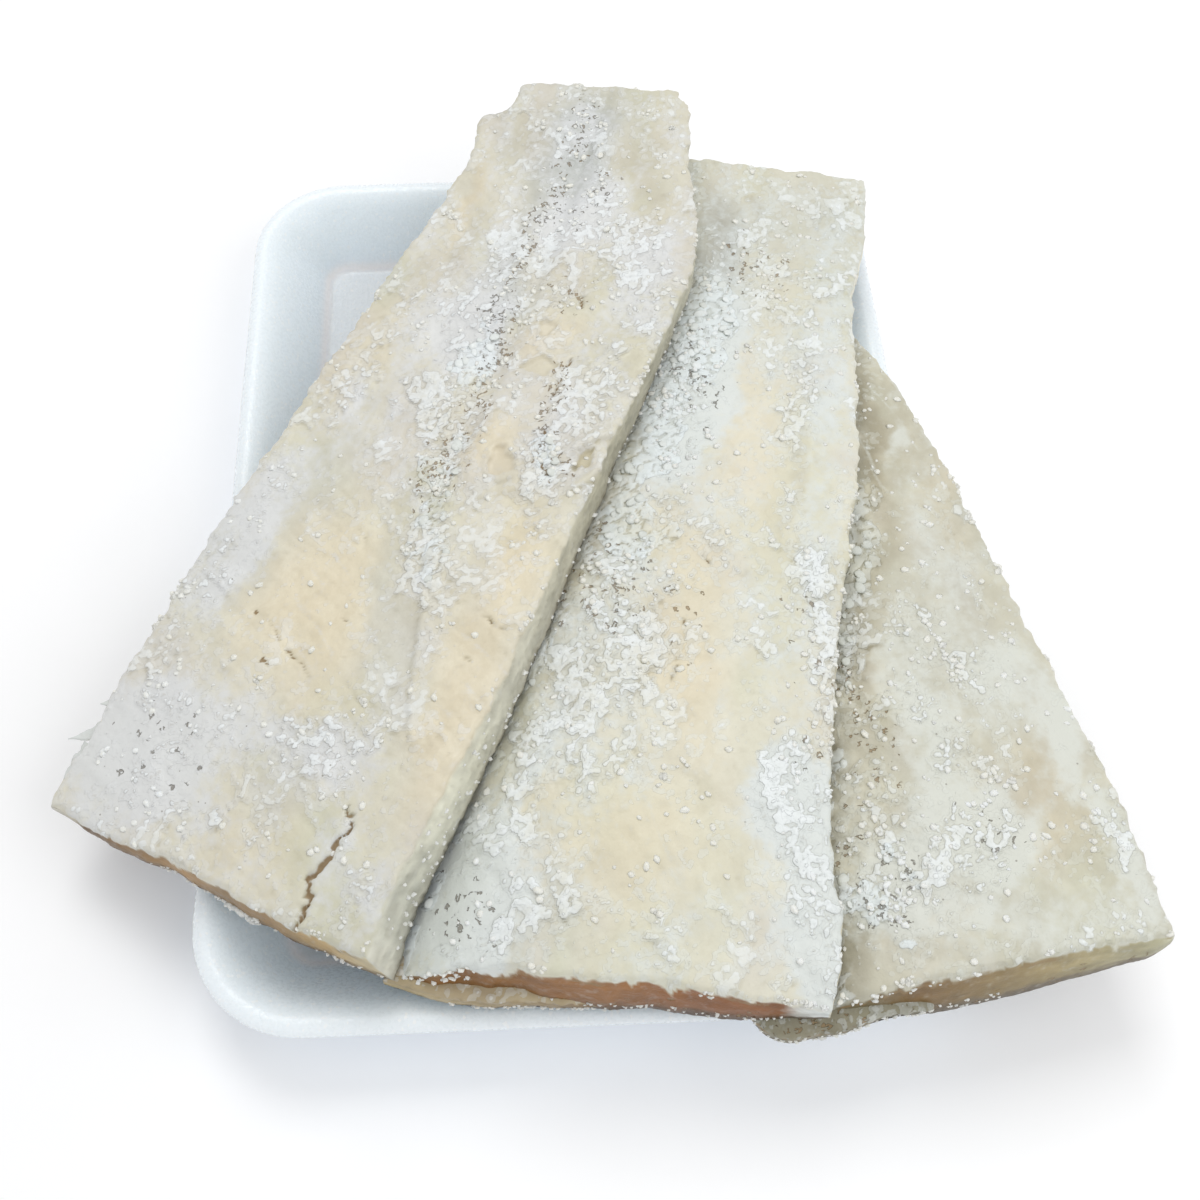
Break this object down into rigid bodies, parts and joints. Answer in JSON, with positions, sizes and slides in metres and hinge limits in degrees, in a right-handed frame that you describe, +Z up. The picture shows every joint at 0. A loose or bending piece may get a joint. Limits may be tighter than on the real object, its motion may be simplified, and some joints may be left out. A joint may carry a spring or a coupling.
{
  "type": "dish of cod loin",
  "caption": "Thick salt-crusted cod loins fanned out and overlapping across a shallow white foam tray with sloping sides, a rounded rim and a flat base.",
  "frame": {"origin": "centre of the flat underside of the tray", "axes": "+Z up; +Y along the tray's long side, away from the viewer of the picture; +X to the right"},
  "size_m": [0.2609, 0.2784, 0.059],
  "materials": {
    "foam": "white expanded foam, smooth skin with a faint bead sparkle",
    "right_fish": "moist ivory flesh under a thin frosted salt crust, olive-brown skin edge",
    "middle_fish": "moist ivory flesh, dense white salt crystals on one side, brown cut end",
    "left_fish": "beige flaky flesh with raised white salt crust and a brown split"
  },
  "bodies": {
    "root": {"tray": "foam", "loin_right": "right_fish", "loin_middle": "middle_fish", "loin_left": "left_fish"}
  },
  "joints": []
}
